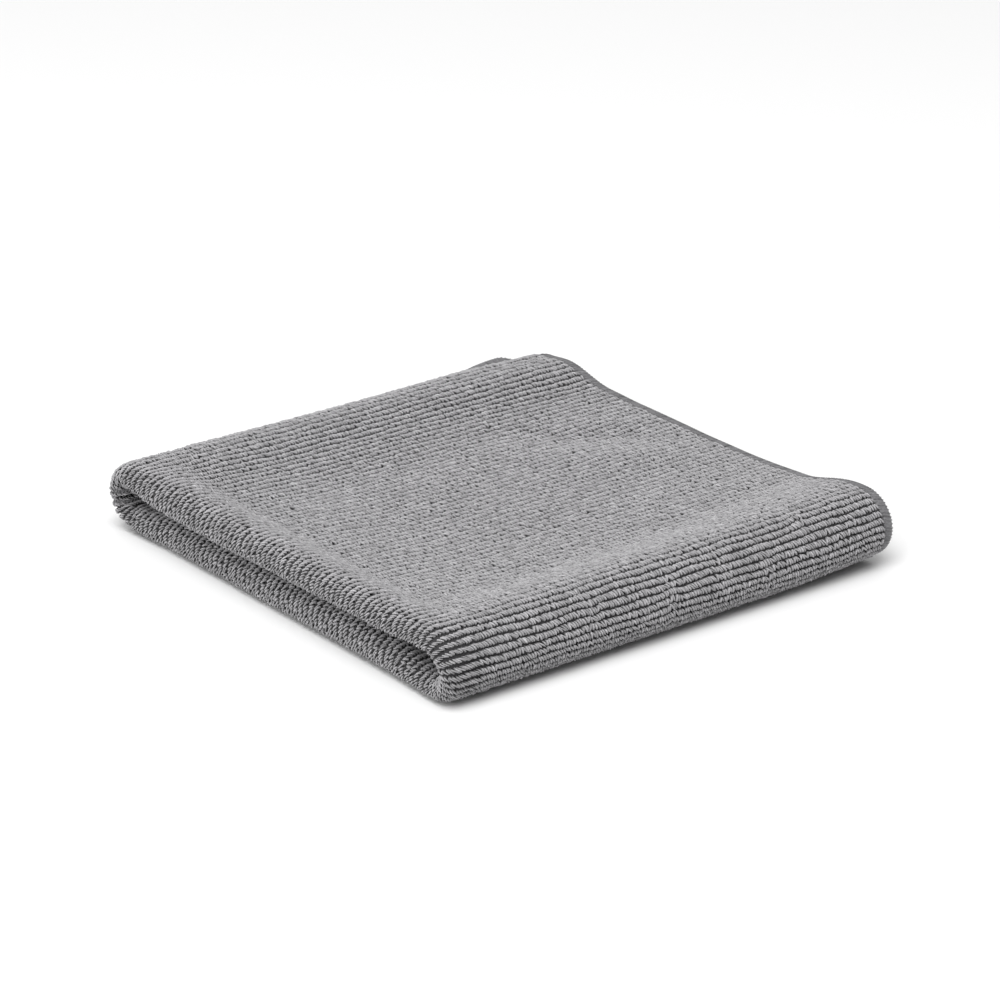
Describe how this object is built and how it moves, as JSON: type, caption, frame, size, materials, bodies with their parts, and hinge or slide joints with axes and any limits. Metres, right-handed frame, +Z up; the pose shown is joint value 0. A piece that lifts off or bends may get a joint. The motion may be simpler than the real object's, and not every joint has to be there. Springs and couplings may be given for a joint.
{
  "type": "microfibre cloth",
  "caption": "Grey ribbed microfibre cleaning cloth with overlocked edges, lying folded into a soft square pack.",
  "frame": {"origin": "centre of the pack's underside, at the middle of its bounding box", "axes": "+Z up; +X from the long crease towards the hemmed edges, along the ribs; -Y towards the rounded turn at the front"},
  "size_m": [0.1988, 0.2135, 0.0289],
  "materials": {
    "grey_microfibre": "matt grey loop pile in narrow ribs",
    "hem_thread": "darker grey overlock thread, slightly glossy"
  },
  "bodies": {
    "root": {"cloth": "grey_microfibre"}
  },
  "joints": []
}
